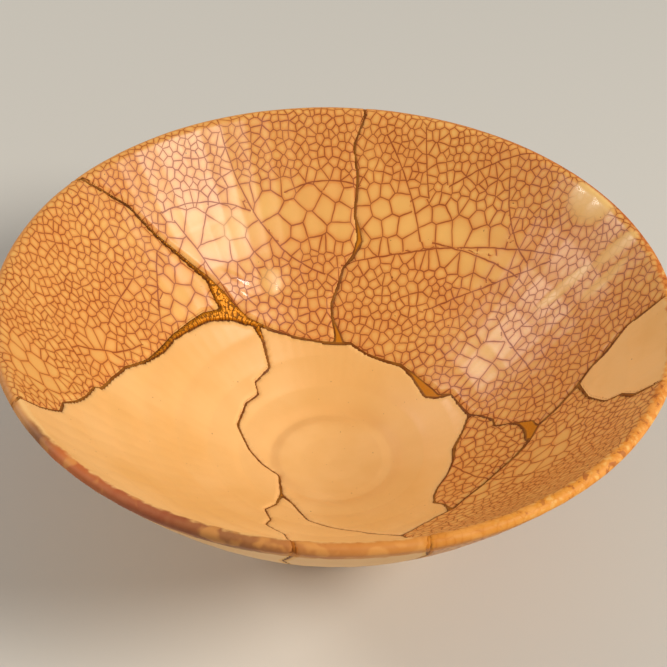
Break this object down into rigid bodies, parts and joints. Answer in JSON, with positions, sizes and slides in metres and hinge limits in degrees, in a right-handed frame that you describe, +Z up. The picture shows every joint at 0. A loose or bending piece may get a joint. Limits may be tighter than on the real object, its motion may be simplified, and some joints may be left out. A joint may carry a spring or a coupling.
{
  "type": "kintsugi bowl",
  "caption": "Wide footed tea bowl, broken into sherds of crackled and plain cream glaze and joined again with gold lacquer seams.",
  "frame": {"origin": "centre of the foot ring's underside, on the surface the bowl stands on", "axes": "+Z up along the bowl's axis, -Y towards the front of the bowl, +X to its right"},
  "size_m": [0.1601, 0.16, 0.0637],
  "materials": {
    "crackled_glaze": "glossy glazed stoneware with a red-brown stained crackle",
    "plain_glaze": "glossy plain cream glazed stoneware",
    "gold_lacquer": "grainy gold powder on brown lacquer"
  },
  "bodies": {
    "root": {"crackled_sherd_left": "crackled_glaze", "crackled_sherd_back_left": "crackled_glaze", "crackled_sherd_back_right": "crackled_glaze", "crackled_sherd_small": "crackled_glaze", "crackled_sherd_front_right": "crackled_glaze", "plain_sherd_front_left": "plain_glaze", "plain_sherd_well": "plain_glaze", "plain_sherd_front": "plain_glaze", "plain_sherd_right": "plain_glaze", "gold_lacquer_web": "gold_lacquer"}
  },
  "joints": []
}
